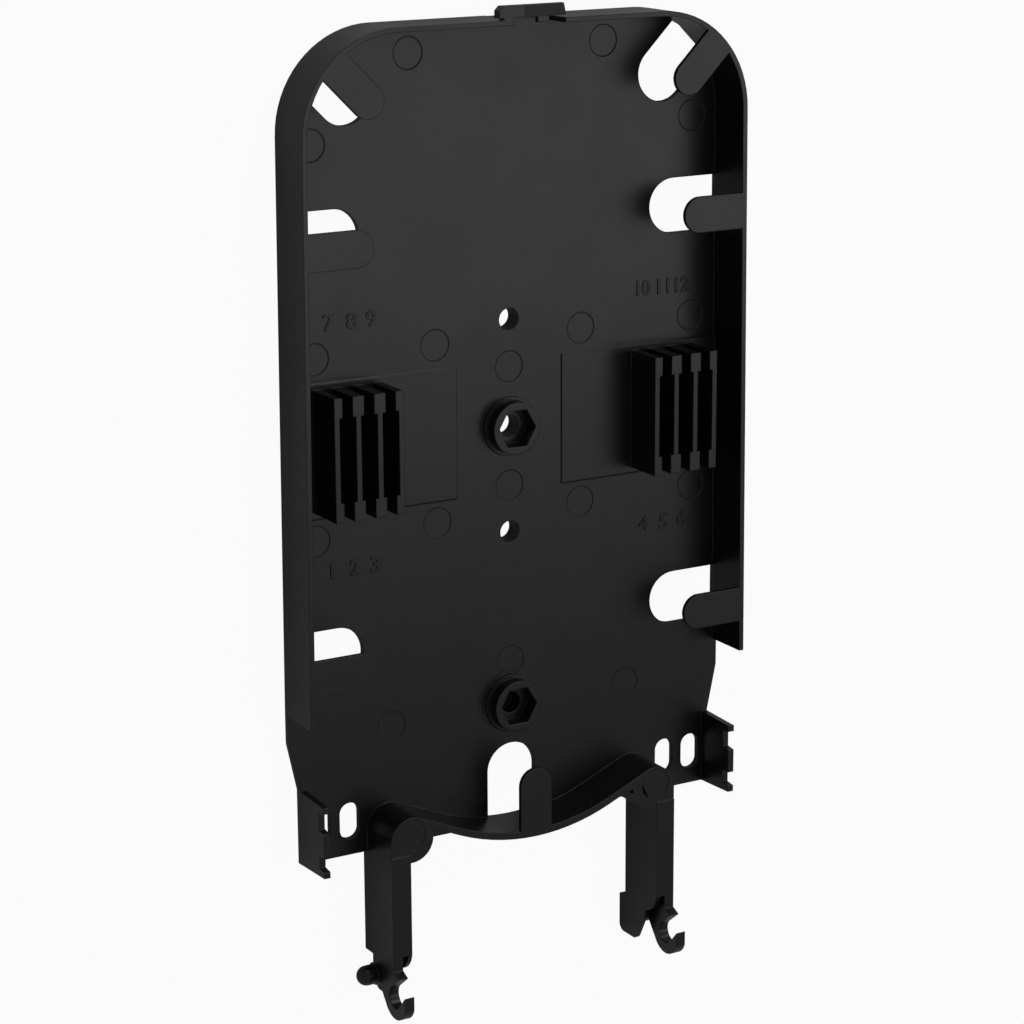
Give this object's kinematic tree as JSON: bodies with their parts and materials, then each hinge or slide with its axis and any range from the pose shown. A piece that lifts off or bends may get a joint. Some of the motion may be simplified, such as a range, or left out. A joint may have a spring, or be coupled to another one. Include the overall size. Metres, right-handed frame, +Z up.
{
  "type": "fibre splice tray",
  "caption": "Moulded tray that holds fibre splices in two combs and coils slack fibre under rim tabs, and hinges on hooked arms.",
  "frame": {"origin": "on the bore of the central nut boss, at the plane that the tray rests on", "axes": "+X across the tray to the right, +Y along the tray from the hooks towards the catch, +Z up out of the tray"},
  "size_m": [0.0986, 0.1953, 0.0185],
  "materials": {
    "black_plastic": "satin black moulded plastic"
  },
  "bodies": {
    "root": {"splice_tray": "black_plastic"}
  },
  "joints": []
}
